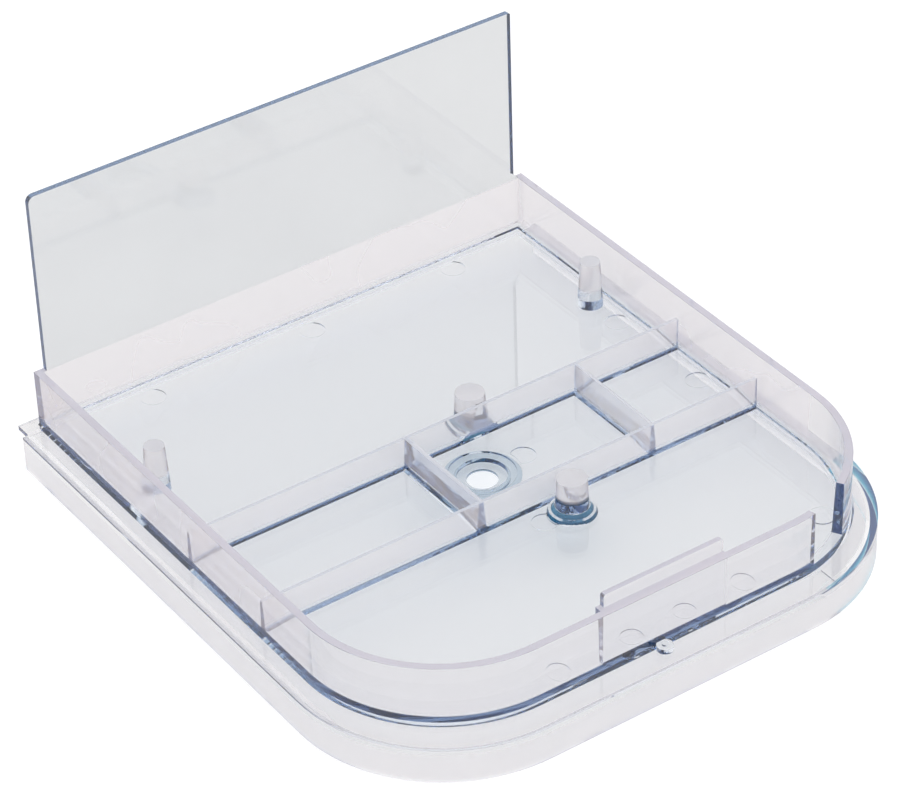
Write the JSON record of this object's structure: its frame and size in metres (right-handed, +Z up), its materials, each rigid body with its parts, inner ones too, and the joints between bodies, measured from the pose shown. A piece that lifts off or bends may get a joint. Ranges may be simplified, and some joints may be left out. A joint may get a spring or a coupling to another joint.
{
  "type": "clear cover tray",
  "caption": "Clear moulded tray with a hanging skirt, low dividing ribs, screw posts, a dished hole in the floor and a tall thin plate along the rear edge.",
  "frame": {"origin": "middle of the overall footprint, on the plane of the skirt's bottom rim", "axes": "+Z up, +Y towards the side with the tall plate, +X to the right seen from the front"},
  "size_m": [0.2024, 0.2183, 0.0985],
  "materials": {
    "clear_plastic": "gloss"
  },
  "bodies": {
    "root": {"floor_panel": "clear_plastic", "hole_cup": "clear_plastic", "flange_rim": "clear_plastic", "rear_ledge": "clear_plastic", "outer_skirt": "clear_plastic", "back_plate": "clear_plastic", "front_tab": "clear_plastic", "gate_nub": "clear_plastic", "corner_disc": "clear_plastic", "left_wall": "clear_plastic", "left_corner_wall": "clear_plastic", "front_wall": "clear_plastic", "right_wall": "clear_plastic", "right_corner_wall": "clear_plastic", "gap_sill": "clear_plastic", "rear_wall": "clear_plastic", "rear_divider_rib": "clear_plastic", "front_divider_rib": "clear_plastic", "left_cross_rib": "clear_plastic", "right_cross_rib": "clear_plastic", "left_post": "clear_plastic", "right_post": "clear_plastic", "mid_rear_collar": "clear_plastic", "mid_rear_post": "clear_plastic", "mid_front_collar": "clear_plastic", "mid_front_post": "clear_plastic"}
  },
  "joints": []
}
